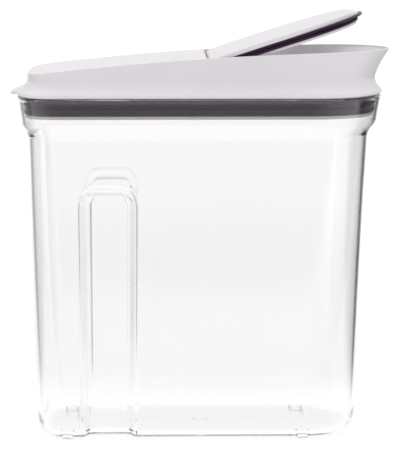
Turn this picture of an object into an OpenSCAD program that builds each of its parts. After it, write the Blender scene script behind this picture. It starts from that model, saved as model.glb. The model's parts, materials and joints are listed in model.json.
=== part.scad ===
// Upright dry-food canister with a pour spout: clear tub, push-on lid, hinged flap.
// Millimetres. X runs from the finger tab (-X) to the pour spout (+X), Z is up,
// and the origin is on the table under the middle of the canister.

/* [Tub] */
// overall length of the tub at its rim
tub_length = 229.2; // [200:0.2:260]
// overall width of the tub at its rim
tub_width = 115; // [100:0.5:130]
// height of the tub's rim above the table
tub_rim_z = 215.5; // [150:0.5:240]
// height of the collar below the rim
collar_height = 15; // [10:0.5:22]
// wall thickness of the tub
tub_wall = 2; // [1.6:0.1:3]
// height of the four moulded feet
foot_height = 2.3; // [1.5:0.1:4]
// diameter of one foot
foot_diameter = 9.5; // [6:0.5:14]

/* [Grip recess] */
// distance of the recess centre from the middle, towards the finger tab
grip_offset = 57.6; // [45:0.1:60]
// width of the recess where it leaves the side wall
grip_width = 36; // [30:0.2:38]
// depth of the recess
grip_depth = 7.4; // [5:0.2:8]
// radius of the recess's two top corners
grip_corner = 10.6; // [9:0.2:14]
// height of the top end of the recess
grip_top_z = 162; // [110:1:180]

/* [Lid] */
// height of the lid's deck above the table, halfway along
deck_z = 240; // [234:0.5:248]
// wall thickness of the lid cover
lid_wall = 1.8; // [1.4:0.1:2.4]
// overhang of the spout tip beyond the skirt's lower lip
spout_reach = 4.7; // [3:0.1:8]
// width of the finger tab
tab_width = 30; // [20:1:44]

/* [Flap] */
// angle the flap stands open in the rest position
flap_open = 15.4; // [0:0.2:88]
// thickness of the flap's cover
flap_thick = 3; // [2.4:0.1:3.6]
// diameter of the moulded hinge trunnions
trunnion_diameter = 3; // [2.4:0.1:3.4]
// radial clearance of a trunnion in its socket
trunnion_clearance = 0.05; // [0.02:0.01:0.1]

/* [View] */
// sub-part to show

/* [Hidden] */

// ---- outlines seen from above -------------------------------------------------
// An outline is symmetric about Y = 0: a rounded front, straight sides, a rounded
// rear. Point 0 is the foremost point and points i and count - i are mirrored.
coarse = [11, 6, 9];

function power(v, e) = pow(max(v, 0), e);

function half_outline(o, steps) = concat(
    [for (i = [0:steps[0]])
        let (a = 90 * i / steps[0])
        [o[0] - o[3] + o[3] * power(cos(a), 2 / o[5]), o[2] * power(sin(a), 2 / o[5])]],
    [for (i = [1:steps[1]])
        let (u = i / steps[1])
        [(o[0] - o[3]) * (1 - u) + (o[1] + o[4]) * u, o[2]]],
    [for (i = [1:steps[2]])
        let (a = 90 * i / steps[2])
        [o[1] + o[4] - o[4] * power(sin(a), 2 / o[6]), o[2] * power(cos(a), 2 / o[6])]]);

// o = [front x, rear x, half width, front run, rear run, front power, rear power]
function outline(o, steps) =
    let (half = half_outline(o, steps), last = len(half) - 1)
    concat(half, [for (i = [last - 1:-1:1]) [half[i].x, -half[i].y]]);

function inset(o, d) =
    [o[0] - d, o[1] + d, o[2] - d, max(o[3] - d, 0.3), max(o[4] - d, 0.3), o[5], o[6]];

function mix(a, b, t) = [for (i = [0:len(a) - 1]) a[i] * (1 - t) + b[i] * t];

// ---- skins between outlines ---------------------------------------------------
function side_faces(rings, count) =
    [for (r = [0:rings - 2], i = [0:count - 1], k = [0, 1])
        let (a = r * count + i, b = r * count + (i + 1) % count)
        k == 0 ? [a, b + count, b] : [a, a + count, b + count]];

function cap_faces(first, count, up) =
    let (half = count / 2)
    concat(
        [up ? [first, first + count - 1, first + 1] : [first, first + 1, first + count - 1]],
        [for (i = [1:half - 2], k = [0, 1])
            let (a = first + i, b = first + i + 1, c = first + count - i - 1, d = first + count - i)
            k == 0 ? (up ? [a, c, b] : [a, b, c]) : (up ? [a, d, c] : [a, c, d])],
        [up ? [first + half - 1, first + half + 1, first + half]
            : [first + half - 1, first + half, first + half + 1]]);

// a closed cushion from its lowest outline to its highest
module solid_skin(rings) {
    count = len(rings[0]);
    polyhedron(
        points = [for (r = rings, p = r) p],
        faces = concat(
            side_faces(len(rings), count),
            cap_faces(0, count, false),
            cap_faces((len(rings) - 1) * count, count, true)),
        convexity = 6);
}

// a closed sleeve: outlines up the outside, then down the inside
module sleeve_skin(rings) {
    count = len(rings[0]);
    polyhedron(
        points = [for (r = rings, p = r) p],
        faces = concat(
            side_faces(len(rings), count),
            [for (i = [0:count - 1], k = [0, 1])
                let (a = (len(rings) - 1) * count + i,
                     b = (len(rings) - 1) * count + (i + 1) % count,
                     c = i,
                     d = (i + 1) % count)
                k == 0 ? [a, d, b] : [a, c, d]]),
        convexity = 8);
}

function level(points, z) = [for (p = points) [p.x, p.y, z]];

// ---- tub ----------------------------------------------------------------------
half_length = tub_length / 2;
half_width = tub_width / 2;
collar_z = tub_rim_z - collar_height;
flare_height = 11;
shoulder_z = collar_z - flare_height;
base_fillet = 6;

collar = [half_length, -half_length, half_width, 45, 30, 2.05, 3.2];
collar_foot = [half_length - 2.4, -half_length + 2, half_width - 1.6, 44, 29, 2.05, 3.2];
shoulder = [half_length - 8.2, -half_length + 6.2, half_width - 6, 40, 25, 2.1, 3];
base = [half_length - 15.5, -half_length + 10.7, half_width - 10.8, 36, 23, 2.2, 2.8];
front_belly = 1;

function tub_outline(z) =
    z >= collar_z ? mix(collar_foot, collar, (z - collar_z) / collar_height)
    : z >= shoulder_z
        ? let (t = (z - shoulder_z) / flare_height, s = t * t * (3 - 2 * t)) mix(shoulder, collar_foot, s)
        : let (t = max(z, 0) / shoulder_z, o = mix(base, shoulder, t))
            [o[0] - front_belly * 4 * t * (1 - t), o[1], o[2], o[3], o[4], o[5], o[6]];

// The grip recess sinks in from the side wall on an S curve.
// It narrows a little towards the base, so that the tub leaves its mould.
grip_draft = 1;
// its top slopes in more gently than its sides
grip_lean = 1.25;
// distance from the recess's edge to its full depth
grip_run = 0.76 * grip_depth;
// how much wider the recess is on the inside, so that its wall keeps its thickness
grip_spread = 0.55 * tub_wall;

function grip_half(z) = grip_width / 2 - grip_draft * (1 - z / grip_top_z);

// how far a point of the side wall lies inside the recess's outline
function grip_inside(x, z) =
    grip_corner - norm([max(abs(x + grip_offset) - grip_half(z) + grip_corner, 0),
                        max((z - grip_top_z) / grip_lean + grip_corner, 0)]);

function grip_at(x, z, spread) =
    let (t = min(max((grip_inside(x, z) + spread) / grip_run, 0), 1))
    grip_depth * t * t * (3 - 2 * t);

// distances from the recess's edge at which the wall has points, in shares of its run
grip_steps = [for (t = [-0.3, 0, 0.15, 0.3, 0.45, 0.6, 0.75, 0.95, 1.2]) t * grip_run];
function side_stations(z) = concat(
    [30, -15],
    [for (s = grip_steps) -grip_offset + grip_half(z) - s],
    [for (i = [len(grip_steps) - 1:-1:0]) -grip_offset - grip_half(z) + grip_steps[i]]);
fine = [12, 2 + 2 * len(grip_steps), 10];

// one level of the tub's wall: inset by d, drawn at height z_drawn, recess wider by spread
function tub_ring(z, d, z_drawn, spread) =
    let (flat = outline(inset(tub_outline(z), d), fine),
         stations = side_stations(z),
         first = fine[0] + 1,
         count = len(flat))
    [for (i = [0:count - 1])
        let (k = i <= count / 2 ? i : count - i,
             side = k >= first && k < first + fine[1],
             x = side ? stations[k - first] : flat[i].x,
             y = flat[i].y)
        [x, side ? y - sign(y) * grip_at(x, z, spread) : y, z_drawn]];

function fillet_inset(r, a) = r * (1 - sin(a));
function fillet_rise(r, a) = r * (1 - cos(a));

inner_floor = foot_height + tub_wall + 0.4;
body_levels = concat([12, 0.37 * grip_top_z, 0.7 * grip_top_z],
    [for (i = [len(grip_steps) - 1:-1:0]) grip_top_z - grip_lean * grip_steps[i]]);
flare_levels = [for (t = [0, 0.15, 0.3, 0.45, 0.6, 0.75, 0.9]) shoulder_z + t * flare_height];
wall_levels = concat(body_levels, flare_levels, [collar_z, tub_rim_z - 0.8]);

tub_outer_rings = concat(
    [for (a = [0, 25, 50, 72]) tub_ring(foot_height, fillet_inset(base_fillet, a),
        foot_height + fillet_rise(base_fillet, a), 0)],
    [for (z = wall_levels) tub_ring(z, 0, z, 0)],
    [tub_ring(tub_rim_z, 0.5, tub_rim_z, 0)]);

// from the floor up; the last ring stands a hair proud of the rim so the mouth is open
tub_inner_rings = concat(
    [for (a = [0, 20, 45, 68]) tub_ring(foot_height, tub_wall + fillet_inset(base_fillet - 1, a),
        inner_floor + fillet_rise(base_fillet - 1, a), grip_spread)],
    [for (z = wall_levels) tub_ring(z, tub_wall, z, grip_spread)],
    [tub_ring(tub_rim_z, tub_wall - 0.5, tub_rim_z + 0.01, grip_spread)]);

foot_x = [64, -84];
foot_y = 36;

module tub() {
    color([0.86, 0.9, 0.92, 0.3]) {
        difference() {
            solid_skin(tub_outer_rings);
            solid_skin(tub_inner_rings);
        }
        for (x = foot_x, side = [-1, 1])
            translate([x, side * foot_y, 0])
                rotate_extrude($fn = 48)
                    polygon([[0, 0], [foot_diameter / 2 - 1.2, 0], [foot_diameter / 2 - 0.35, 0.45],
                             [foot_diameter / 2, 1.3], [foot_diameter / 2, foot_height + 0.3],
                             [0, foot_height + 0.3]]);
    }
}

// ---- lid cover ----------------------------------------------------------------
lip_z = tub_rim_z + 1;
// the deck climbs towards the spout and flattens out
deck_slope = 0.0647;
deck_curve = 0.000249;
function deck_at(x) = deck_z + deck_slope * x - deck_curve * x * x;

lip = [half_length + 0.5, -half_length - 0.4, half_width + 0.5, 45, 30, 2.05, 3.2];
waist = [half_length - 4, -half_length + 6.4, half_width - 5.2, 44, 27, 2.05, 3.4];
brim = [lip[0] + spout_reach, -half_length + 6.6, half_width - 5.5, 60, 26, 2, 4];
cove_z = lip_z + 9.5;

// outline of the skirt at a share t of the way from the lip to the brim
cove_levels = [[0, 0.6], [0.5, 0.12], [1.1, 0], [1.8, 0.12], [2.6, 0.9], [3.8, 2.4], [5.2, 3.9], [7.2, 5]];
upper_levels = [0, 0.12, 0.28, 0.46, 0.64, 0.82];

function cove_outline(d) = mix(lip, waist, d / 5.7);
function upper_outline(t) =
    let (o = mix(waist, brim, t))
    [waist[0] + (brim[0] - waist[0]) * power(t, 1.35), o[1], o[2], o[3], o[4], o[5], o[6]];

function on_deck(points, drop) = [for (p = points) [p.x, p.y, deck_at(p.x) - drop]];
function part_way(points, t) =
    [for (p = points) [p.x, p.y, cove_z * (1 - t) + (deck_at(p.x) - 0.5) * t]];

throat_rear = 15.2;
throat = [half_length - 9.8, throat_rear, brim[2] - lid_wall, 46, 4, 2.1, 2.4];
seat = [throat[0], brim[1] + lid_wall, throat[2], 46, 24, 2.1, 4];

cover_outer_rings = concat(
    [for (c = cove_levels)
        level(outline(c[0] < 1 ? inset(lip, c[1]) : cove_outline(c[1]), coarse), lip_z + c[0])],
    [for (t = upper_levels) part_way(outline(upper_outline(t), coarse), t)],
    [on_deck(outline(brim, coarse), 0.5)],
    [on_deck(outline(inset(brim, 0.4), coarse), 0)]);

cover_inner_rings = concat(
    [on_deck(outline(inset(brim, lid_wall - 0.4), coarse), 0)],
    [on_deck(outline(inset(brim, lid_wall), coarse), 0.7)],
    [part_way(outline(mix(seat, inset(brim, lid_wall), 0.1), coarse), 0.72)],
    [part_way(outline(seat, coarse), 0.68)],
    [part_way(outline(seat, coarse), 0.4)],
    [part_way(outline(inset(upper_outline(0.18), lid_wall), coarse), 0.18)],
    [level(outline(inset(waist, lid_wall), coarse), cove_z)],
    [for (c = [[7.2, 5], [5.2, 4.1], [3.8, 2.8], [2.4, 1.2], [1.2, 0.4]])
        level(outline(inset(cove_outline(c[1]), lid_wall), coarse), lip_z + c[0])],
    [level(outline(inset(lip, lid_wall), coarse), lip_z)]);

deck_thick = 2;
hinge_x = 8.5;
hinge_depth = 4.05;
hinge_z = deck_at(hinge_x) - hinge_depth;
deck_end = hinge_x - 4.9;
shelf_thick = 1.6;
shelf_z = hinge_z - 4.7;
barrel_radius = 4;
boss_radius = 2.9;
boss_inner = 47.2;
boss_outer = throat[2] + 0.4;
socket_radius = trunnion_diameter / 2 + trunnion_clearance;
socket_end = boss_outer - 0.55;

deck_stations = [0, 0.03, 0.09, 0.17, 0.26, 0.36, 0.47, 0.6, 0.74, 0.88, 1];
deck_rim = inset(brim, lid_wall / 2);
function deck_half(x) =
    let (u = min(max((deck_rim[1] + deck_rim[4] - x) / deck_rim[4], 0), 1))
    deck_rim[2] * power(1 - power(u, deck_rim[6]), 1 / deck_rim[6]);

// deck plate: cross-sections along X that follow the climb of the brim
module deck() {
    start = deck_rim[1] + 0.15;
    xs = [for (s = deck_stations) start + (deck_end - start) * s];
    polyhedron(
        points = [for (x = xs) each [
            [x, deck_half(x), deck_at(x) - 0.05], [x, -deck_half(x), deck_at(x) - 0.05],
            [x, -deck_half(x), deck_at(x) - deck_thick], [x, deck_half(x), deck_at(x) - deck_thick]]],
        faces = concat(
            [[0, 1, 2, 3]],
            [for (s = [0:len(xs) - 2], k = [0:3])
                [4 * s + k, 4 * s + 4 + k, 4 * s + 4 + (k + 1) % 4, 4 * s + (k + 1) % 4]],
            [[for (k = [3:-1:0]) 4 * (len(xs) - 1) + k]]),
        convexity = 4);
}

// wall, shelf and low sill that close the lid off behind the flap's hinge
module hinge_shelf() {
    half = throat[2] + 0.5;
    translate([0, half, 0])
        rotate([90, 0, 0])
            linear_extrude(2 * half)
                polygon([
                    [deck_end - 1.8, shelf_z - shelf_thick], [throat_rear, shelf_z - shelf_thick],
                    [throat_rear, shelf_z + 3.4], [throat_rear - 1.4, shelf_z + 3.4],
                    [throat_rear - 1.4, shelf_z], [deck_end, shelf_z],
                    [deck_end, deck_at(deck_end) - 0.4], [deck_end - 1.8, deck_at(deck_end) - 0.4]]);
}

tab_root_x = -half_length + 5;
// the tab reaches as far back as the spout reaches forward
tab_tip_x = -brim[0];

// finger tab, sloping gently down and outwards
module finger_tab() {
    corner = 7;
    intersection() {
        translate([0, tab_width / 2, 0])
            rotate([90, 0, 0])
                linear_extrude(tab_width)
                    polygon([
                        [tab_tip_x, lip_z - 1], [tab_tip_x, lip_z + 0.2], [tab_tip_x + 0.9, lip_z + 1],
                        [tab_root_x, lip_z + 4.4], [tab_root_x, lip_z + 1.6],
                        [-half_length - 0.8, lip_z + 0.1], [-half_length - 1, lip_z - 1.5],
                        [tab_tip_x + 1, lip_z - 1.9]]);
        translate([0, 0, lip_z - 5])
            linear_extrude(12)
                union() {
                    translate([tab_tip_x + corner, -tab_width / 2])
                        square([20, tab_width]);
                    translate([tab_tip_x, -tab_width / 2 + corner])
                        square([20, tab_width - 2 * corner]);
                    for (side = [-1, 1])
                        translate([tab_tip_x + corner, side * (tab_width / 2 - corner)])
                            circle(r = corner, $fn = 64);
                }
    }
}

rib_x = 65;
rib_height = 8;

module lid_cover() {
    color([0.93, 0.93, 0.94])
        difference() {
            union() {
                sleeve_skin(concat(cover_outer_rings, cover_inner_rings));
                deck();
                hinge_shelf();
                finger_tab();
                for (side = [-1, 1]) {
                    // hinge boss
                    translate([hinge_x, side * (boss_inner + boss_outer) / 2, hinge_z])
                        rotate([90, 0, 0])
                            cylinder(r = boss_radius, h = boss_outer - boss_inner, center = true, $fn = 64);
                    // stop rib inside the spout
                    translate([rib_x - 0.6, side * (throat[2] + 0.1) - 0.3, deck_at(rib_x) - rib_height])
                        cube([1.2, 0.6, rib_height - 0.3]);
                }
            }
            for (side = [-1, 1])
                translate([hinge_x, side * (boss_inner - 1 + socket_end) / 2, hinge_z])
                    rotate([90, 0, 0])
                        cylinder(r = socket_radius, h = socket_end - boss_inner + 1, center = true, $fn = 64);
        }
}

// ---- lid plug: the inner frame that carries the large gasket --------------------
gap = 0.3;
plug_wall = 1.8;
plug_bottom_z = tub_rim_z - 12.4;
plug_outer = inset(tub_outline(plug_bottom_z), tub_wall + gap + 3);
plug_foot = inset(tub_outline(plug_bottom_z), tub_wall + gap + 0.3);
plug_foot_thick = 2.1;
plug_top_z = lip_z + 5.5;
plug_collar_z = lip_z - 0.6;

module lid_plug() {
    color([0.93, 0.92, 0.94])
        sleeve_skin([
            level(outline(inset(plug_foot, 0.5), coarse), plug_bottom_z),
            level(outline(plug_foot, coarse), plug_bottom_z + 0.5),
            level(outline(plug_foot, coarse), plug_bottom_z + plug_foot_thick),
            level(outline(plug_outer, coarse), plug_bottom_z + plug_foot_thick),
            level(outline(plug_outer, coarse), plug_collar_z),
            level(outline(inset(lip, lid_wall + 0.1), coarse), plug_collar_z),
            level(outline(inset(lip, lid_wall + 0.1), coarse), plug_collar_z + 1.6),
            level(outline(plug_outer, coarse), plug_collar_z + 2),
            level(outline(plug_outer, coarse), plug_top_z),
            level(outline(inset(plug_outer, plug_wall), coarse), plug_top_z),
            level(outline(inset(plug_outer, plug_wall), coarse), plug_bottom_z)]);
}

// ---- lid gasket: one moulded ring with an upper and a lower sealing lip ----------
gasket_root = inset(plug_outer, 0.1);
gasket_low_z = plug_bottom_z + plug_foot_thick;
gasket_levels = [
    [0, 0.9], [0.7, 0.05], [2.6, 0.3], [4.4, 0.9], [4.9, 1.5], [5.4, 0.6], [6.2, 0], [7.6, 0.1], [9.2, 0.5], [9.9, 1.2]];

module lid_gasket() {
    color([0.2, 0.15, 0.21])
        sleeve_skin(concat(
            [for (g = gasket_levels)
                let (z = gasket_low_z + g[0])
                level(outline(inset(tub_outline(z), tub_wall + gap + g[1]), coarse), z)],
            [level(outline(gasket_root, coarse), gasket_low_z + 9.9)],
            [level(outline(gasket_root, coarse), gasket_low_z)]));
}

// ---- flap, drawn closed and then swung open about its hinge ----------------------
module swing_open() {
    translate([hinge_x, 0, hinge_z])
        rotate([0, -flap_open, 0])
            translate([-hinge_x, 0, -hinge_z])
                children();
}

flap_rim = [half_length - 10, hinge_x, throat[2] - 0.6, 50, 0.6, 2.1, 2];
nose_start = flap_rim[0] - 7.9;
function nose_drop(x) = let (u = max(x - nose_start, 0) / (flap_rim[0] - nose_start)) 2.3 * power(u, 1.4);
function on_flap(points, drop) =
    [for (p = points) [p.x, p.y, deck_at(p.x) - max(drop, min(drop + nose_drop(p.x), flap_thick - 0.4))]];
function under_flap(points, drop) = [for (p = points) [p.x, p.y, deck_at(p.x) - drop]];
trunnion_end = socket_end - 0.35;
barrel_half = boss_inner - 0.3;

module flap_cover() {
    color([0.93, 0.93, 0.94])
        swing_open() {
            difference() {
                union() {
                    solid_skin([
                        under_flap(outline(inset(flap_rim, 0.3), coarse), flap_thick),
                        under_flap(outline(flap_rim, coarse), flap_thick - 0.3),
                        on_flap(outline(flap_rim, coarse), 1),
                        on_flap(outline(inset(flap_rim, 0.3), coarse), 0.35),
                        on_flap(outline(inset(flap_rim, 1), coarse), 0.05)]);
                    translate([hinge_x, 0, hinge_z])
                        rotate([90, 0, 0])
                            cylinder(r = barrel_radius, h = 2 * barrel_half, center = true, $fn = 64);
                }
                for (side = [-1, 1])
                    translate([hinge_x, side * (barrel_half + 2.5), hinge_z])
                        rotate([90, 0, 0])
                            cylinder(r = boss_radius + 0.35, h = 5, center = true, $fn = 64);
            }
            for (side = [-1, 1])
                translate([hinge_x, side * (barrel_half + trunnion_end - 1) / 2, hinge_z])
                    rotate([90, 0, 0])
                        cylinder(d = trunnion_diameter, h = trunnion_end - barrel_half + 1, center = true, $fn = 64);
        }
}

// ---- flap plate and its gasket ---------------------------------------------------
plate_rear = throat_rear + 1.2;
plate_core = [half_length - 14.8, plate_rear + 2.2, throat[2] - 3.4, 43, 5, 2.1, 2.4];
plate_foot = [half_length - 12.6, plate_rear + 0.8, throat[2] - 1.4, 45, 6, 2.1, 2.4];
plate_low = flap_thick + 5.6;
plate_foot_thick = 1.6;
plate_floor = 1.6;

module flap_plate() {
    color([0.9, 0.9, 0.92])
        swing_open()
            difference() {
                solid_skin([
                    under_flap(outline(inset(plate_foot, 0.4), coarse), plate_low),
                    under_flap(outline(plate_foot, coarse), plate_low - 0.4),
                    under_flap(outline(plate_foot, coarse), plate_low - plate_foot_thick),
                    under_flap(outline(plate_core, coarse), plate_low - plate_foot_thick),
                    under_flap(outline(plate_core, coarse), flap_thick - 0.1)]);
                // hollow between the plate and the flap's cover
                solid_skin([
                    under_flap(outline(inset(plate_core, 1.6), coarse), plate_low - plate_floor),
                    under_flap(outline(inset(plate_core, 1.6), coarse), flap_thick - 0.5)]);
            }
}

flap_gasket_upper = [half_length - 7.8, plate_rear, throat[2] - 0.4, 49, 7, 2.1, 2.4];
flap_gasket_lower = [half_length - 11.1, plate_rear, throat[2] - 0.4, 46, 7, 2.1, 2.4];
flap_gasket_groove = [half_length - 13.2, plate_rear + 1, throat[2] - 1.8, 45, 6, 2.1, 2.4];
flap_gasket_root = inset(plate_core, 0.1);

module flap_gasket() {
    color([0.2, 0.15, 0.21])
        swing_open()
            sleeve_skin([
                under_flap(outline(inset(flap_gasket_lower, 0.6), coarse), flap_thick + 4),
                under_flap(outline(flap_gasket_lower, coarse), flap_thick + 3.5),
                under_flap(outline(flap_gasket_lower, coarse), flap_thick + 2.9),
                under_flap(outline(flap_gasket_groove, coarse), flap_thick + 2.2),
                under_flap(outline(flap_gasket_groove, coarse), flap_thick + 1.7),
                under_flap(outline(inset(flap_gasket_upper, 0.1), coarse), flap_thick + 1),
                under_flap(outline(flap_gasket_upper, coarse), flap_thick + 0.5),
                under_flap(outline(inset(flap_gasket_upper, 0.3), coarse), flap_thick),
                under_flap(outline(flap_gasket_root, coarse), flap_thick),
                under_flap(outline(flap_gasket_root, coarse), flap_thick + 4)]);
}

tub();
lid_cover();
lid_plug();
lid_gasket();
flap_cover();
flap_plate();
flap_gasket();
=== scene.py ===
"""Dry-food canister: clear tub, white push-on lid with a pour spout, hinged flap."""
import bpy
import bmesh
import json
import math
from mathutils import Vector, Matrix


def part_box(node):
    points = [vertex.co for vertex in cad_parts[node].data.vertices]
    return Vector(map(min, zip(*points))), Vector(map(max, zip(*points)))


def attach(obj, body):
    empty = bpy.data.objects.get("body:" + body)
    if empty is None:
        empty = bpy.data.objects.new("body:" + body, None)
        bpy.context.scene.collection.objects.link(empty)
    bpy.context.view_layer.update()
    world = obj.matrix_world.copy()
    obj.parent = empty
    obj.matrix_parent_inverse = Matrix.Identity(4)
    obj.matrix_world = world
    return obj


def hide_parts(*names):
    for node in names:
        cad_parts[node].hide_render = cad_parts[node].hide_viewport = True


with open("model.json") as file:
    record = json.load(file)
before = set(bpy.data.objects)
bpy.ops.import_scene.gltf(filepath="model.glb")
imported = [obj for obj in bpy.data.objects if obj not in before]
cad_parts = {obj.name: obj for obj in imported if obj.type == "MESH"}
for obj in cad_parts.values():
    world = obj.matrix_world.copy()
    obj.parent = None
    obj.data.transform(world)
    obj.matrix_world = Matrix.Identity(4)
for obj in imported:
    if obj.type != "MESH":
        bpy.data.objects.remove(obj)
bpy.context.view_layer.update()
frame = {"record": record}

MM = 0.001


# ---- sizes, worked out from the frame, in millimetres ---------------------------
tub_hi = [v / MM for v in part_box("tub")[1]]
spout_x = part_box("lid_cover")[1][0] / MM
plug_bottom_z, plug_top_z = [p[2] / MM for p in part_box("lid_plug")]
gasket_bottom_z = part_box("lid_gasket")[0][2] / MM
joints = {j["name"]: j for j in frame["record"]["behaviour"]["joints"]}
hinge_x, _, hinge_z = [v / MM for v in joints["flap_hinge"]["pos_m"]]
flap_open = math.radians(-joints["flap_hinge"]["range_deg"][0])

tub_wall = 2.0
foot_height = 2.3
collar_height = 15.0
collar_draft_x, collar_draft_y = 2.4, 1.6
# the rim's edge is eased, so the tub's widest ring lies a little down its drafted collar
rim_ease = 0.8
half_length = tub_hi[0] + collar_draft_x * rim_ease / collar_height
half_width = tub_hi[1] + collar_draft_y * rim_ease / collar_height
rim_z = tub_hi[2]
flare_height = 11.0
base_fillet = 6.0
lid_wall = 1.8
deck_thick = 2.0


# ---- outlines seen from above ---------------------------------------------------
# [front x, rear x, half width, front run, rear run, front power, rear power]
def power(v, e):
    return max(v, 0.0) ** e


def half_outline(o, steps):
    """The side at +Y, from the front tip to the rear tip: front curve, straight, rear curve."""
    front, rear, half, front_run, rear_run, front_power, rear_power = o
    pts = []
    for i in range(steps[0] + 1):
        a = math.pi / 2 * i / steps[0]
        pts.append((front - front_run + front_run * power(math.cos(a), 2 / front_power),
                    half * power(math.sin(a), 2 / front_power)))
    x0, x1 = front - front_run, rear + rear_run
    for i in range(1, steps[1] + 1):
        u = i / steps[1]
        pts.append((x0 * (1 - u) + x1 * u, half))
    for i in range(1, steps[2] + 1):
        a = math.pi / 2 * i / steps[2]
        pts.append((rear + rear_run - rear_run * power(math.sin(a), 2 / rear_power),
                    half * power(math.cos(a), 2 / rear_power)))
    return pts


def outline(o, steps):
    half = half_outline(o, steps)
    return half + [(x, -y) for x, y in half[-2:0:-1]]


def inset(o, d):
    return [o[0] - d, o[1] + d, o[2] - d, max(o[3] - d, 0.3), max(o[4] - d, 0.3), o[5], o[6]]


def mix(a, b, t):
    return [p * (1 - t) + q * t for p, q in zip(a, b)]


def clamp(v):
    return min(max(v, 0.0), 1.0)


def ease(v):
    c = clamp(v)
    return c * c * (3 - 2 * c)


def level(points, z):
    return [(x, y, z) for x, y in points]


def spaced(a, b, n):
    return [a + (b - a) * i / n for i in range(n + 1)]


def arc(start, end, n):
    """Sine and cosine of n + 1 angles, given in degrees."""
    return [(math.sin(math.radians(a)), math.cos(math.radians(a))) for a in spaced(start, end, n)]


# ---- meshes ---------------------------------------------------------------------
def smooth(mesh, keep_angle):
    """Smooth shading; edges sharper than keep_angle degrees stay crisp, or none if it is None."""
    mesh.polygons.foreach_set("use_smooth", [True] * len(mesh.polygons))
    if keep_angle is not None:
        mesh.set_sharp_from_angle(angle=math.radians(keep_angle))


def add_object(name, mesh):
    obj = bpy.data.objects.new(name, mesh)
    bpy.context.scene.collection.objects.link(obj)
    return obj


def mesh_from(bm, name):
    mesh = bpy.data.meshes.new(name)
    bm.to_mesh(mesh)
    bm.free()
    return mesh


def skin(name, rings, closed_sleeve=False, keep_angle=38, turn=None):
    """A closed skin through equal outlines: capped at both ends, or joined into a sleeve."""
    n = len(rings[0])
    m = len(rings)
    verts = [Vector(p) * MM for r in rings for p in r]
    if turn:
        verts = [turn @ v for v in verts]
    faces = []
    for r in range(m - (0 if closed_sleeve else 1)):
        for i in range(n):
            a, b = r * n + i, r * n + (i + 1) % n
            c, d = ((r + 1) % m) * n + i, ((r + 1) % m) * n + (i + 1) % n
            faces.append((a, b, d, c))
    if not closed_sleeve:
        for first, up in ((0, False), ((m - 1) * n, True)):
            half = n // 2
            caps = [(first, first + 1, first + n - 1)]
            for i in range(1, half - 1):
                caps.append((first + i, first + i + 1, first + n - i - 1, first + n - i))
            caps.append((first + half - 1, first + half, first + half + 1))
            faces += caps if up else [tuple(reversed(f)) for f in caps]
    mesh = bpy.data.meshes.new(name)
    mesh.from_pydata(verts, [], faces)
    mesh.validate()
    smooth(mesh, keep_angle)
    return add_object(name, mesh)


def join_loops(bm, loops, segments, closed=False):
    """Faces between rings of points; a ring of one point makes a tip."""
    for a, b in zip(loops, loops[1:] + (loops[:1] if closed else [])):
        for i in range(segments):
            j = (i + 1) % segments
            around = [a[i % len(a)], a[j % len(a)], b[j % len(b)], b[i % len(b)]]
            bm.faces.new(list(dict.fromkeys(around)))


def turned(bm, profile, x, y, segments, closed=False):
    """A solid turned about an upright axis through x, y; a closed profile makes a ring."""
    loops = []
    for r, z in profile:
        ring = [Vector((x + r * math.cos(2 * math.pi * i / segments),
                        y + r * math.sin(2 * math.pi * i / segments), z)) * MM
                for i in range(segments)]
        loops.append([bm.verts.new(v) for v in (ring if r else ring[:1])])
    join_loops(bm, loops, segments, closed)


def lathe(name, profile, x, z, side=1, turn=None, segments=64):
    """A solid turned about an axis along Y through x, z; the profile is (radius, y)."""
    bm = bmesh.new()
    loops = []
    for r, y in profile:
        ring = [Vector((x + r * math.cos(2 * math.pi * i / segments), side * y,
                        z + r * math.sin(2 * math.pi * i / segments))) * MM
                for i in range(segments)]
        loops.append([bm.verts.new(v) for v in (ring if r else ring[:1])])
    join_loops(bm, loops, segments)
    bmesh.ops.recalc_face_normals(bm, faces=bm.faces)
    if turn:
        bmesh.ops.transform(bm, matrix=turn, verts=bm.verts)
    mesh = mesh_from(bm, name)
    smooth(mesh, 40)
    return add_object(name, mesh)


def extruded(name, profile, half):
    """A profile in X and Z, drawn across the canister from -half to +half in Y."""
    n = len(profile)
    verts = [Vector((x, side * half, z)) * MM for side in (-1, 1) for x, z in profile]
    faces = [(i, (i + 1) % n, n + (i + 1) % n, n + i) for i in range(n)]
    faces += [tuple(reversed(range(n))), tuple(range(n, 2 * n))]
    mesh = bpy.data.meshes.new(name)
    mesh.from_pydata(verts, [], faces)
    bm = bmesh.new()
    bm.from_mesh(mesh)
    bmesh.ops.recalc_face_normals(bm, faces=bm.faces)
    bm.to_mesh(mesh)
    bm.free()
    return add_object(name, mesh)


def rod_profile(radius, y0, y1, edge=0.25):
    """Half section of a round rod with softened ends."""
    near = [(radius - edge + edge * s, y0 + edge - edge * c) for s, c in arc(0, 90, 4)]
    far = [(radius - edge + edge * s, y1 - edge + edge * c) for s, c in arc(90, 0, 4)]
    return [(0, y0)] + near + far + [(0, y1)]


def combine(obj, operation, tools, keep_angle):
    """Join tools to an object, or take them away, and keep the result as its mesh."""
    for tool in tools:
        step = obj.modifiers.new(tool.name, "BOOLEAN")
        step.operation = operation
        step.solver = "EXACT"
        step.object = tool
    bpy.context.view_layer.update()
    mesh = bpy.data.meshes.new_from_object(obj.evaluated_get(bpy.context.evaluated_depsgraph_get()))
    obj.modifiers.clear()
    obj.data = mesh
    for tool in tools:
        bpy.data.objects.remove(tool)
    smooth(mesh, keep_angle)
    return obj


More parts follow.
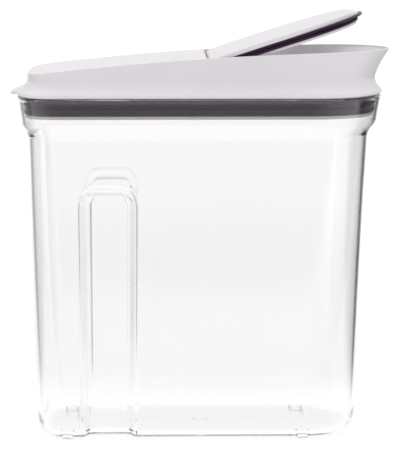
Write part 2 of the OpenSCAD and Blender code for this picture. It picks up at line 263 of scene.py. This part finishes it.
# ---- tub ------------------------------------------------------------------------
collar_z = rim_z - collar_height
shoulder_z = collar_z - flare_height
collar = [half_length, -half_length, half_width, 45, 30, 2.05, 3.2]
collar_foot = [half_length - collar_draft_x, -half_length + 2, half_width - collar_draft_y, 44, 29, 2.05, 3.2]
shoulder = [half_length - 8.2, -half_length + 6.2, half_width - 6, 40, 25, 2.1, 3]
base = [half_length - 15.5, -half_length + 10.7, half_width - 10.8, 36, 23, 2.2, 2.8]
front_belly = 1.0
grip_offset = 57.6
grip_width = 36.0
grip_depth = 7.4
grip_corner = 10.6
grip_top_z = 162.0
grip_draft = 1.0
grip_lean = 1.25
grip_run = 0.76 * grip_depth
grip_spread = 0.55 * tub_wall
# distances from the recess's edge at which the wall has points
grip_steps = spaced(-1.6, grip_run + 0.4, 24) + spaced(grip_run + 1.2, grip_run + 6, 4)
straight_end = 62
TUB_STEPS = [64, 31 + 2 * len(grip_steps), 48]


def tub_outline(z):
    if z >= collar_z:
        return mix(collar_foot, collar, (z - collar_z) / collar_height)
    if z >= shoulder_z:
        return mix(shoulder, collar_foot, ease((z - shoulder_z) / flare_height))
    t = max(z, 0.0) / shoulder_z
    o = mix(base, shoulder, t)
    o[0] -= front_belly * 4 * t * (1 - t)
    return o


def grip_half(z):
    return grip_width / 2 - grip_draft * (1 - z / grip_top_z)


def grip_at(x, z, spread):
    """Depth of the grip recess, which sinks in on an S curve."""
    aside = max(abs(x + grip_offset) - grip_half(z) + grip_corner, 0.0)
    above = max((z - grip_top_z) / grip_lean + grip_corner, 0.0)
    inside = grip_corner - math.hypot(aside, above) + spread
    return grip_depth * ease(inside / grip_run)


def side_stations(z):
    """Where the long sides carry their points: closely spaced across the recess."""
    front = spaced(straight_end, -grip_offset + grip_half(z) + 2.4, 30)
    across = [-grip_offset + grip_half(z) - s for s in grip_steps]
    return front + across + [-2 * grip_offset - x for x in reversed(across)]


def tub_ring(z, d, at_z, spread):
    """One level of the wall: the outline of height z, inset by d, drawn at height at_z."""
    pts = outline(inset(tub_outline(z), d), TUB_STEPS)
    stations = side_stations(z)
    first = TUB_STEPS[0] + 1
    half = len(pts) // 2
    ring = []
    for i, (x, y) in enumerate(pts):
        k = i if i <= half else len(pts) - i
        if first <= k < first + TUB_STEPS[1]:
            x = stations[k - first]
            y -= math.copysign(grip_at(x, z, spread), y)
        ring.append((x, y, at_z))
    return ring


def fillet(radius, depth, low_z, spread, angles):
    """The rounded edge between the tub's wall and its floor."""
    return [tub_ring(foot_height, depth + radius * (1 - s), low_z + radius * (1 - c), spread)
            for s, c in angles]


def wall_levels(low_z):
    return (spaced(low_z, grip_top_z - grip_lean * grip_corner - 4, 24)
            + [grip_top_z - grip_lean * s for s in reversed(grip_steps)]
            + spaced(grip_top_z + 4, shoulder_z, 8) + spaced(shoulder_z + 0.6, collar_z, 18)
            + spaced(collar_z + 1.5, rim_z - rim_ease - 0.1, 6))


foot_places = [(x, side * 36.0) for x in (64.0, -84.0) for side in (-1, 1)]
foot_radius = 4.75
mark_radius = 4.1
mark_bead = 0.7
bury = 0.3


def make_feet():
    """Four domed feet and the moulding mark; their tops reach into the tub's floor."""
    bm = bmesh.new()
    dome = [(0, 0)] + [(foot_radius * s ** 0.8, foot_height * 0.8 * (1 - c)) for s, c in arc(30, 90, 8)]
    dome += [(foot_radius, foot_height + bury), (0, foot_height + bury)]
    for x, y in foot_places:
        turned(bm, dome, x, y, 40)
    # the moulding gate's ring, under the middle of the floor
    bead = [(mark_radius - mark_bead * c, foot_height + 0.2 - (mark_bead + 0.2) * s) for s, c in arc(0, 180, 8)]
    turned(bm, bead, 0, 0, 64, closed=True)
    bmesh.ops.recalc_face_normals(bm, faces=bm.faces)
    return add_object("feet", mesh_from(bm, "feet"))


def make_tub():
    inner_radius = base_fillet - 1
    floor_z = foot_height + tub_wall + 0.4
    bottom = arc(0, 84, 12)
    # up the outside, over the rim and down the inside
    rings = fillet(base_fillet, 0, foot_height, 0, bottom)
    rings += [tub_ring(z, 0, z, 0) for z in wall_levels(foot_height + base_fillet)]
    for s, c in arc(0, 90, 6):
        rings.append(tub_ring(rim_z, rim_ease - rim_ease * c, rim_z - rim_ease + rim_ease * s, 0))
    for s, c in arc(90, 0, 6):
        rings.append(tub_ring(rim_z, tub_wall - rim_ease + rim_ease * c,
                              rim_z - rim_ease + rim_ease * s, grip_spread))
    rings += [tub_ring(z, tub_wall, z, grip_spread) for z in reversed(wall_levels(floor_z + inner_radius))]
    rings += fillet(inner_radius, tub_wall, floor_z, grip_spread, reversed(bottom))
    tub = combine(skin("tub_shell", rings, keep_angle=70), "UNION", [make_feet()], 50)
    tub.data.name = "tub_shell"
    return tub


# ---- lid ------------------------------------------------------------------------
FINE = [56, 30, 44]
lip_z = rim_z + 1
deck_z = 240.0
deck_slope = 0.0647
deck_curve = 0.000249
lip = [half_length + 0.5, -half_length - 0.4, half_width + 0.5, 45, 30, 2.05, 3.2]
waist = [half_length - 4, -half_length + 6.4, half_width - 5.2, 44, 27, 2.05, 3.4]
brim = [spout_x, -half_length + 6.6, half_width - 5.5, 60, 26, 2, 4]
cove_z = lip_z + 9.5
cove_depth = 5.7
brim_ease = 0.5
throat_rear = 15.2
throat = [half_length - 9.8, throat_rear, brim[2] - lid_wall, 46, 4, 2.1, 2.4]
seat = [throat[0], brim[1] + lid_wall, throat[2], 46, 24, 2.1, 4]
# height above the lip and depth of the cove
cove_profile = [(0, 0.6), (0.12, 0.32), (0.3, 0.14), (0.6, 0.03), (1.1, 0), (1.6, 0.06), (2.1, 0.35),
                (2.6, 0.9), (3.2, 1.65), (3.8, 2.4), (4.5, 3.2), (5.2, 3.9), (6.2, 4.55), (7.2, 5), (8.3, 5.35)]
cove_inside = [(7.2, 5), (5.2, 4.1), (3.8, 2.8), (2.4, 1.2), (1.2, 0.4), (0, 0)]


def deck_at(x):
    return deck_z + deck_slope * x - deck_curve * x * x


def cove_outline(d):
    return mix(lip, waist, d / cove_depth)


def upper_outline(t):
    o = mix(waist, brim, t)
    o[0] = waist[0] + (brim[0] - waist[0]) * power(t, 1.35)
    return o


def under_deck(points, drop):
    return [(x, y, deck_at(x) - drop) for x, y in points]


def part_way(points, t):
    """Points between the cove's level and the deck's."""
    return [(x, y, cove_z * (1 - t) + (deck_at(x) - brim_ease) * t) for x, y in points]


def make_lid_cover():
    rings = [level(outline(inset(lip, d) if z < 1 else cove_outline(d), FINE), lip_z + z)
             for z, d in cove_profile]
    rings += [part_way(outline(upper_outline(t), FINE), t) for t in spaced(0, 0.97, 18)]
    for s, c in arc(0, 90, 5):
        rings.append(under_deck(outline(inset(brim, brim_ease - brim_ease * c), FINE),
                                brim_ease - brim_ease * s))
    for s, c in arc(90, 0, 5):
        rings.append(under_deck(outline(inset(brim, lid_wall - brim_ease + brim_ease * c), FINE),
                                brim_ease - brim_ease * s))
    inner_brim = inset(brim, lid_wall)
    rings += [part_way(outline(mix(inner_brim, seat, u), FINE), 0.98 - 0.3 * u)
              for u in spaced(0.05, 1, 8)]
    rings.append(part_way(outline(seat, FINE), 0.4))
    rings.append(part_way(outline(inset(upper_outline(0.18), lid_wall), FINE), 0.18))
    rings.append(level(outline(inset(waist, lid_wall), FINE), cove_z))
    rings += [level(outline(inset(cove_outline(d), lid_wall), FINE), lip_z + z) for z, d in cove_inside]
    return skin("lid_skirt", rings, closed_sleeve=True, keep_angle=50)


deck_end = hinge_x - 4.9
deck_ease = 0.8
deck_sink = 0.03


def make_deck():
    """The flat top behind the hinge; its front edge is rounded where the flap begins."""
    rim = inset(brim, lid_wall / 2)
    start = rim[1] + 0.1
    verts = []

    def add_row(x, drop):
        u = clamp((rim[1] + rim[4] - x) / rim[4])
        h = rim[2] * power(1 - power(u, rim[6]), 1 / rim[6])
        top = deck_at(x) - deck_sink - drop
        low = deck_at(x) - (deck_thick if drop else deck_sink + deck_thick)
        verts.extend([(x, h, top), (x, -h, top), (x, -h, low), (x, h, low)])

    for u in spaced(0, 1, 60):
        x = start + (deck_end - start) * (u ** 1.8)
        if x < deck_end - deck_ease + 0.05:
            add_row(x, 0)
    for s, c in arc(15, 90, 5):
        add_row(deck_end - deck_ease + deck_ease * s, deck_ease * (1 - c))
    count = len(verts) // 4
    faces = [(4 * s + k, 4 * s + (k + 1) % 4, 4 * s + 4 + (k + 1) % 4, 4 * s + 4 + k)
             for s in range(count - 1) for k in range(4)]
    faces.append((3, 2, 1, 0))
    faces.append(tuple(4 * (count - 1) + k for k in range(4)))
    mesh = bpy.data.meshes.new("lid_deck")
    mesh.from_pydata([Vector(v) * MM for v in verts], [], faces)
    smooth(mesh, 40)
    return add_object("lid_deck", mesh)


def make_tab():
    tip, root = -spout_x, -half_length + 5
    rings = []
    for s, c in arc(-90, 90, 12):
        o = [root, tip + 1.5 * (1 - c), 15 - 1.5 * (1 - c), 0.3, 7, 2, 2.2]
        ring = []
        for x, y in outline(o, [4, 24, 24]):
            u = clamp((x - tip) / (root - tip))
            middle = lip_z - 0.3 + 3.3 * u ** 1.2
            ring.append((x, y, middle + (1.35 + 0.15 * u) * s))
        rings.append(ring)
    return skin("lid_tab", rings, keep_angle=50)


shelf_z = hinge_z - 4.7
shelf_thick = 1.6
shelf_step = 1.4
shelf_lip = 3.4
deck_hook = 1.8


def make_shelf():
    """The shelf below the hinge barrel, which closes the gap behind the spout's throat."""
    hook_top = deck_at(deck_end) - 1.2
    return extruded("lid_hinge_shelf", [
        (deck_end - deck_hook, shelf_z - shelf_thick), (throat_rear, shelf_z - shelf_thick),
        (throat_rear, shelf_z + shelf_lip), (throat_rear - shelf_step, shelf_z + shelf_lip),
        (throat_rear - shelf_step, shelf_z), (deck_end, shelf_z),
        (deck_end, hook_top), (deck_end - deck_hook, hook_top)], throat[2] + 0.5)


barrel_radius = 4.0
boss_radius = 2.9
boss_inner = 47.2
boss_outer = throat[2] + 0.4
trunnion_radius = 1.5
socket_radius = trunnion_radius + 0.05
socket_end = boss_outer - 0.55
trunnion_end = socket_end - 0.35
barrel_half = boss_inner - 0.3


def make_boss(side, place):
    """A hinge boss on the lid's side wall, with the blind socket that takes a trunnion."""
    profile = [(0, socket_end), (socket_radius, socket_end), (socket_radius, boss_inner)]
    profile += rod_profile(boss_radius, boss_inner, boss_outer)[1:]
    return lathe("lid_hinge_boss_" + place, profile, hinge_x, hinge_z, side)


rib_x = 65.0
rib_height = 8.0
rib_radius = 0.9


def make_rib(side, place):
    """A slim stop rib on the wall of the spout."""
    low, high = deck_at(rib_x) - rib_height, deck_at(rib_x) - 0.4
    profile = [(0, low), (rib_radius * 0.6, low + 0.3), (rib_radius, low + 1.1), (rib_radius, high - 0.6),
               (rib_radius * 0.7, high - 0.15), (0, high)]
    bm = bmesh.new()
    turned(bm, profile, rib_x, side * (throat[2] + rib_radius - 0.25), 32)
    bmesh.ops.recalc_face_normals(bm, faces=bm.faces)
    mesh = mesh_from(bm, "lid_stop_rib_" + place)
    smooth(mesh, None)
    return add_object("lid_stop_rib_" + place, mesh)


# ---- the lid's inner frame and its gasket ---------------------------------------
gap = 0.3
plug_wall = 1.8
plug_outer = inset(tub_outline(plug_bottom_z), tub_wall + gap + 3)
plug_inner = inset(plug_outer, plug_wall)
plug_foot = inset(tub_outline(plug_bottom_z), tub_wall + gap + 0.3)
plug_foot_z = plug_bottom_z + 2.1
plug_low_ease, plug_high_ease = 0.7, 0.4
plug_collar = inset(lip, lid_wall + 0.1)
plug_collar_z = lip_z - 0.6
gasket_root = inset(plug_outer, 0.1)
# height above the gasket's foot and distance back from its widest lip
gasket_profile = [(0, 0.9), (0.25, 0.4), (0.7, 0.06), (1.2, 0), (1.9, 0.08), (2.6, 0.26), (3.4, 0.5),
                  (4.0, 0.75), (4.4, 1.0), (4.7, 1.5), (4.95, 1.5), (5.2, 0.95), (5.5, 0.4), (5.9, 0.1),
                  (6.4, 0), (7.2, 0.05), (8.2, 0.22), (9.2, 0.5), (9.6, 0.75), (9.9, 1.2)]


def make_plug():
    rings = [level(outline(inset(plug_foot, plug_low_ease * (1 - s)), FINE),
                   plug_bottom_z + plug_low_ease * (1 - c)) for s, c in arc(0, 90, 5)]
    rings += [level(outline(inset(plug_foot, plug_high_ease * (1 - c)), FINE),
                    plug_foot_z - plug_high_ease + plug_high_ease * s) for s, c in arc(0, 90, 4)]
    for o, z in ((plug_outer, plug_foot_z), (plug_outer, plug_collar_z), (plug_collar, plug_collar_z),
                 (plug_collar, plug_collar_z + 1.6), (plug_outer, plug_collar_z + 2), (plug_outer, plug_top_z),
                 (plug_inner, plug_top_z), (plug_inner, plug_bottom_z)):
        rings.append(level(outline(o, FINE), z))
    return skin("lid_plug_frame", rings, closed_sleeve=True, keep_angle=35)


def make_gasket():
    rings = [level(outline(inset(tub_outline(gasket_bottom_z + z), tub_wall + gap + d), FINE),
                   gasket_bottom_z + z) for z, d in gasket_profile]
    for z in (gasket_profile[-1][0], 0):
        rings.append(level(outline(gasket_root, FINE), gasket_bottom_z + z))
    return skin("lid_seal", rings, closed_sleeve=True, keep_angle=35)


# ---- flap, drawn closed and swung open about the hinge --------------------------
swing = (Matrix.Translation(Vector((hinge_x, 0, hinge_z)) * MM)
         @ Matrix.Rotation(-flap_open, 4, "Y")
         @ Matrix.Translation(Vector((-hinge_x, 0, -hinge_z)) * MM))
FLAP_STEPS = [60, 40, 10]
flap_thick = 3.0
flap_rim = [half_length - 10, hinge_x, throat[2] - 0.6, 50, 0.6, 2.1, 2]
flap_low_ease, flap_high_ease = 0.3, 1.1
nose_start = flap_rim[0] - 7.9
nose_fall = 2.3
plate_rear = throat_rear + 1.2
plate_core = [half_length - 14.8, plate_rear + 2.2, throat[2] - 3.4, 43, 5, 2.1, 2.4]
plate_foot = [half_length - 12.6, plate_rear + 0.8, throat[2] - 1.4, 45, 6, 2.1, 2.4]
plate_low = flap_thick + 5.6
plate_foot_thick = 1.6
plate_ease = 0.5
seal_upper = [half_length - 7.8, plate_rear, throat[2] - 0.4, 49, 7, 2.1, 2.4]
seal_lower = [half_length - 11.1, plate_rear, throat[2] - 0.4, 46, 7, 2.1, 2.4]
seal_groove = [half_length - 13.2, plate_rear + 1, throat[2] - 1.8, 45, 6, 2.1, 2.4]
seal_root = inset(plate_core, 0.1)


def on_flap(points, drop):
    """Points below the flap's top, which falls away at the nose."""
    ring = []
    for x, y in points:
        fall = nose_fall * power(max(x - nose_start, 0.0) / (flap_rim[0] - nose_start), 1.4)
        ring.append((x, y, deck_at(x) - max(drop, min(drop + fall, flap_thick - 0.4))))
    return ring


def flap_ring(o, drop):
    return under_deck(outline(o, FLAP_STEPS), drop)


def make_flap():
    low, high = flap_low_ease, flap_high_ease
    rings = [flap_ring(inset(flap_rim, low), flap_thick)]
    rings += [flap_ring(inset(flap_rim, low * (1 - s)), flap_thick - low * (1 - c))
              for s, c in arc(20, 90, 3)]
    rings.append(on_flap(outline(flap_rim, FLAP_STEPS), 1.8))
    rings += [on_flap(outline(inset(flap_rim, high * (1 - c)), FLAP_STEPS), high * (1 - s))
              for s, c in arc(0, 90, 8)]
    panel = skin("flap_panel", rings, keep_angle=50, turn=swing)
    # room for the hinge bosses
    notches = [lathe("notch", rod_profile(boss_radius + 0.35, barrel_half, barrel_half + 5),
                     hinge_x, hinge_z, side) for side in (-1, 1)]
    return combine(panel, "DIFFERENCE", notches, 40)


def make_plate():
    rings = [flap_ring(inset(plate_foot, plate_ease * (1 - s)), plate_low - plate_ease * (1 - c))
             for s, c in arc(0, 90, 5)]
    rings.append(flap_ring(plate_foot, plate_low - plate_foot_thick))
    rings.append(flap_ring(plate_core, plate_low - plate_foot_thick))
    rings.append(flap_ring(plate_core, flap_thick - 0.1))
    return skin("flap_inner_plate", rings, keep_angle=35, turn=swing)


def make_flap_seal():
    """Two rounded lips with a groove between them."""
    rings = [flap_ring(inset(seal_lower, 0.7 * (1 - c)), flap_thick + 3.25 - 0.75 * s)
             for s, c in arc(-90, 90, 8)]
    rings.append(flap_ring(seal_groove, flap_thick + 2.3))
    rings.append(flap_ring(seal_groove, flap_thick + 1.7))
    rings += [flap_ring(inset(seal_upper, 0.6 * (1 - c)), flap_thick + 0.7 - 0.7 * s)
              for s, c in arc(-90, 70, 8)]
    rings.append(flap_ring(seal_root, flap_thick))
    rings.append(flap_ring(seal_root, flap_thick + 4))
    return skin("flap_seal", rings, closed_sleeve=True, keep_angle=35, turn=swing)


# ---- materials ------------------------------------------------------------------
def new_material(name):
    m = bpy.data.materials.new(name)
    m.use_nodes = True
    m.node_tree.nodes.clear()
    out = m.node_tree.nodes.new("ShaderNodeOutputMaterial")
    bsdf = m.node_tree.nodes.new("ShaderNodeBsdfPrincipled")
    m.node_tree.links.new(bsdf.outputs["BSDF"], out.inputs["Surface"])
    return m, bsdf


def noise(m, scale, detail=3.0, rough=0.55):
    n = m.node_tree.nodes.new("ShaderNodeTexNoise")
    n.inputs["Scale"].default_value = scale
    n.inputs["Detail"].default_value = detail
    n.inputs["Roughness"].default_value = rough
    coord = m.node_tree.nodes.new("ShaderNodeTexCoord")
    m.node_tree.links.new(coord.outputs["Object"], n.inputs["Vector"])
    return n


def ramp(m, source, lo, hi, low_value, high_value):
    r = m.node_tree.nodes.new("ShaderNodeMapRange")
    r.inputs["From Min"].default_value = lo
    r.inputs["From Max"].default_value = hi
    r.inputs["To Min"].default_value = low_value
    r.inputs["To Max"].default_value = high_value
    m.node_tree.links.new(source.outputs["Fac"], r.inputs["Value"])
    return r.outputs["Result"]


def colour_between(m, bsdf, share, a, b):
    c = m.node_tree.nodes.new("ShaderNodeMix")
    c.data_type = "RGBA"
    c.inputs["A"].default_value = (*a, 1)
    c.inputs["B"].default_value = (*b, 1)
    m.node_tree.links.new(share, c.inputs["Factor"])
    m.node_tree.links.new(c.outputs["Result"], bsdf.inputs["Base Color"])


def bump(m, bsdf, source, strength, distance):
    b = m.node_tree.nodes.new("ShaderNodeBump")
    b.inputs["Strength"].default_value = strength
    b.inputs["Distance"].default_value = distance
    m.node_tree.links.new(source.outputs["Fac"], b.inputs["Height"])
    m.node_tree.links.new(b.outputs["Normal"], bsdf.inputs["Normal"])


def clear_plastic():
    m, s = new_material("clear_plastic")
    s.inputs["Transmission Weight"].default_value = 1.0
    s.inputs["IOR"].default_value = 1.5
    wear = noise(m, 22, 4)
    colour_between(m, s, ramp(m, wear, 0.3, 0.7, 0, 1), (0.992, 0.987, 0.989), (0.984, 0.979, 0.981))
    m.node_tree.links.new(ramp(m, wear, 0.35, 0.75, 0.01, 0.035), s.inputs["Roughness"])
    bump(m, s, noise(m, 35, 1), 0.08, 0.0004)
    return m


def white_plastic(name, less_green=0.0):
    """White with a slight lilac cast and a fine satin grain; less_green makes a pinker copy, a painted
    reflection of the dark purple seals.
    """
    m, s = new_material(name)
    s.inputs["IOR"].default_value = 1.5
    mottle = noise(m, 30, 4)
    colour_between(m, s, ramp(m, mottle, 0.35, 0.7, 0, 1),
                   (0.815, 0.785 - less_green, 0.815), (0.79, 0.762 - less_green, 0.792))
    m.node_tree.links.new(ramp(m, mottle, 0.3, 0.7, 0.3, 0.4), s.inputs["Roughness"])
    bump(m, s, noise(m, 900, 2), 0.12, 0.0001)
    return m


def silicone():
    m, s = new_material("dark_silicone")
    s.inputs["IOR"].default_value = 1.43
    s.inputs["Specular IOR Level"].default_value = 0.3
    dust = noise(m, 60, 5, 0.65)
    colour_between(m, s, ramp(m, dust, 0.35, 0.7, 0, 1), (0.026, 0.007, 0.029), (0.043, 0.015, 0.046))
    m.node_tree.links.new(ramp(m, dust, 0.3, 0.7, 0.26, 0.4), s.inputs["Roughness"])
    bump(m, s, noise(m, 700, 2), 0.15, 0.0001)
    return m


CLEAR = clear_plastic()
WHITE = white_plastic("white_plastic")
# the plug frame and flap plate get a pinker white: a painted reflection of the dark purple seals beside them
PINK_REFLECTION_WHITE = white_plastic("white_inner_plastic", 0.005)
SILICONE = silicone()


def dress(obj, material, slot, body, *nodes):
    """Give a piece its material and body, and hide the CAD nodes it stands for."""
    obj.data.materials.clear()
    obj.data.materials.append(material)
    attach(obj, body)
    if nodes:
        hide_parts(*nodes)


dress(make_tub(), CLEAR, "clear_plastic", "tub", "tub")
dress(make_lid_cover(), WHITE, "white_plastic", "lid", "lid_cover")
dress(make_deck(), WHITE, "white_plastic", "lid")
dress(make_tab(), WHITE, "white_plastic", "lid")
dress(make_shelf(), WHITE, "white_plastic", "lid")
dress(make_plug(), PINK_REFLECTION_WHITE, "white_inner_plastic", "lid", "lid_plug")
dress(make_gasket(), SILICONE, "dark_silicone", "lid", "lid_gasket")
dress(make_flap(), WHITE, "white_plastic", "flap", "flap_cover")
barrel = lathe("flap_barrel", rod_profile(barrel_radius, -barrel_half, barrel_half),
               hinge_x, hinge_z, turn=swing)
dress(barrel, WHITE, "white_plastic", "flap")
for side, place in ((-1, "near"), (1, "far")):
    dress(make_boss(side, place), WHITE, "white_plastic", "lid")
    dress(make_rib(side, place), WHITE, "white_plastic", "lid")
    trunnion = lathe("flap_trunnion_" + place, rod_profile(trunnion_radius, barrel_half - 1, trunnion_end),
                     hinge_x, hinge_z, side, turn=swing)
    dress(trunnion, WHITE, "white_plastic", "flap")
dress(make_plate(), PINK_REFLECTION_WHITE, "white_inner_plastic", "flap", "flap_plate")
dress(make_flap_seal(), SILICONE, "dark_silicone", "flap", "flap_gasket")


# ---- floor and light ------------------------------------------------------------
def calc(tree, kind, a, b):
    """A Math node; each input is a number or another node's output."""
    n = tree.nodes.new("ShaderNodeMath")
    n.operation = kind
    for i, v in enumerate((a, b)):
        if isinstance(v, (int, float)):
            n.inputs[i].default_value = v
        else:
            tree.links.new(v, n.inputs[i])
    return n.outputs[0]


def fade(tree, value, lo, hi, start, end):
    """From start to end while value goes from lo to hi."""
    n = tree.nodes.new("ShaderNodeMapRange")
    n.interpolation_type = "SMOOTHSTEP"
    tree.links.new(value, n.inputs["Value"])
    for key, v in (("From Min", lo), ("From Max", hi), ("To Min", start), ("To Max", end)):
        n.inputs[key].default_value = v
    return n.outputs["Result"]


def place_axes(tree, kind):
    """X, Y and Z of a texture coordinate."""
    where = tree.nodes.new("ShaderNodeTexCoord")
    split = tree.nodes.new("ShaderNodeSeparateXYZ")
    tree.links.new(where.outputs[kind], split.inputs[0])
    return split.outputs["X"], split.outputs["Y"], split.outputs["Z"]


def set_brightness(tree, value, seen_value, target):
    """Brightness for light and reflections; the camera itself sees one plain pale value."""
    path = tree.nodes.new("ShaderNodeLightPath")
    seen = tree.nodes.new("ShaderNodeMix")
    seen.data_type = "FLOAT"
    seen.inputs["B"].default_value = seen_value
    tree.links.new(value, seen.inputs["A"])
    tree.links.new(path.outputs["Is Camera Ray"], seen.inputs["Factor"])
    tree.links.new(seen.outputs["Result"], target)


floor_reach = 60.0
floor_mesh = bpy.data.meshes.new("floor")
floor_mesh.from_pydata([(-floor_reach, -floor_reach, 0), (floor_reach, -floor_reach, 0),
                        (floor_reach, floor_reach, 0), (-floor_reach, floor_reach, 0)], [], [(0, 1, 2, 3)])
floor = add_object("floor", floor_mesh)
floor_paint = bpy.data.materials.new("pale_floor")
floor_paint.use_nodes = True
tree = floor_paint.node_tree
tree.nodes.clear()
out = tree.nodes.new("ShaderNodeOutputMaterial")
add = tree.nodes.new("ShaderNodeAddShader")
paint = tree.nodes.new("ShaderNodeBsdfDiffuse")
paint.inputs["Color"].default_value = (0.12, 0.12, 0.12, 1)
glow = tree.nodes.new("ShaderNodeEmission")
X, Y, Z = place_axes(tree, "Object")
# a white sweep, a little dimmer far in front, with a dark card out at the right and a grey one at the left
front = fade(tree, Y, -0.85, -0.4, 0.4, 1.0)
near = fade(tree, Y, 0.0, 0.2, 1.17, 0.95)
far = fade(tree, Y, 0.5, 1.3, 0.0, 0.11)
aside = calc(tree, "DIVIDE", X, calc(tree, "ADD", calc(tree, "MAXIMUM", Y, 0.0), 0.45))
right = fade(tree, aside, 0.26, 0.36, 1.0, 0.02)
left = fade(tree, aside, -0.45, -0.28, 0.3, 1.0)
cards = calc(tree, "MAXIMUM", calc(tree, "MULTIPLY", right, left), fade(tree, Y, 0.0, 0.18, 1.0, 0.0))
sweep = calc(tree, "MULTIPLY", cards, calc(tree, "ADD", near, far))
value = calc(tree, "MULTIPLY", calc(tree, "MULTIPLY", front, sweep), 0.85)
set_brightness(tree, value, 0.93, glow.inputs["Strength"])
tree.links.new(paint.outputs[0], add.inputs[0])
tree.links.new(glow.outputs[0], add.inputs[1])
tree.links.new(add.outputs[0], out.inputs["Surface"])
floor_mesh.materials.append(floor_paint)

world = bpy.data.worlds.new("studio")
bpy.context.scene.world = world
world.use_nodes = True
tree = world.node_tree
tree.nodes.clear()
out = tree.nodes.new("ShaderNodeOutputWorld")
sky = tree.nodes.new("ShaderNodeBackground")
X, Y, Z = place_axes(tree, "Generated")
# a soft tent, brightest overhead
top = fade(tree, Z, 0.3, 0.85, 0.0, 0.66)
back = fade(tree, Y, -0.35, 0.35, 0.86, 0.98)
horizon = fade(tree, Z, 0.0, 0.15, 0.22, 0.0)
value = calc(tree, "ADD", calc(tree, "ADD", back, top), horizon)
set_brightness(tree, value, 1.3, sky.inputs["Strength"])
tree.links.new(sky.outputs[0], out.inputs["Surface"])

# ---- camera ---------------------------------------------------------------------
scene = bpy.context.scene
scene.view_settings.view_transform = "Standard"
scene.view_settings.look = "None"
# light bounces many times inside the clear wall before it leaves
scene.cycles.max_bounces = 40
scene.cycles.transmission_bounces = 40
scene.cycles.glossy_bounces = 40

camera = add_object("camera", bpy.data.cameras.new("camera"))
scene.camera = camera
camera.data.sensor_width = 36
camera.data.lens = 174.9
camera.location = (-0.027, -1.385, 0.3223)
camera.rotation_euler = (math.radians(90 - 7.87), 0, math.radians(-1.12))
camera.data.clip_end = 300
